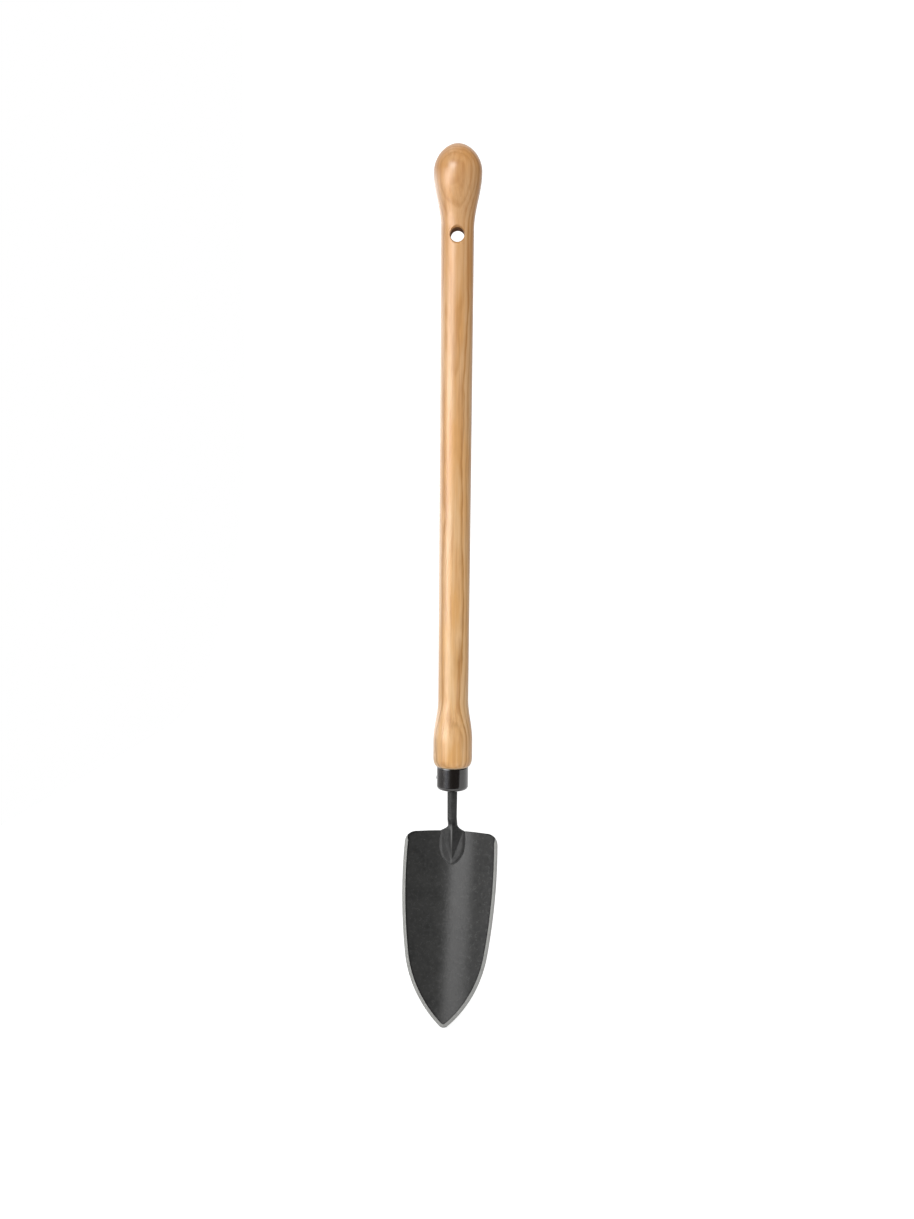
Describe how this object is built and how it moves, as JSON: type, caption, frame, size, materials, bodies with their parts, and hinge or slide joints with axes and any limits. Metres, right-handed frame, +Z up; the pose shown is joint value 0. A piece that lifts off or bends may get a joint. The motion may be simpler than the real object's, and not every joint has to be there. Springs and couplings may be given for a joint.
{
  "type": "garden trowel",
  "caption": "Long-handled garden trowel with a turned ash handle, a steel ferrule and a forged tang welded into the hollow of a dished, pointed steel blade.",
  "frame": {"origin": "centre of the hanging hole through the handle", "axes": "+Z up the handle to its bulb, the blade hanging at -Z; the hollow of the blade faces -Y; +X across the blade"},
  "size_m": [0.075, 0.0622, 0.678],
  "materials": {
    "varnished_ash": "turned ash under clear gloss varnish",
    "black_gloss_paint": "drawn steel under black gloss paint",
    "painted_nail": "steel nail painted over with the ferrule",
    "forged_steel": "dark forged and hardened steel, satin",
    "coated_steel": "dark hardened steel under clear lacquer, mottled, with a ground bright edge",
    "blackened_weld": "ground weld under the same dark finish"
  },
  "bodies": {
    "root": {"handle": "varnished_ash", "ferrule": "black_gloss_paint", "ferrule_nail": "painted_nail", "tang": "forged_steel", "blade": "coated_steel", "weld_left": "blackened_weld", "weld_right": "blackened_weld", "weld_back": "blackened_weld"}
  },
  "joints": []
}
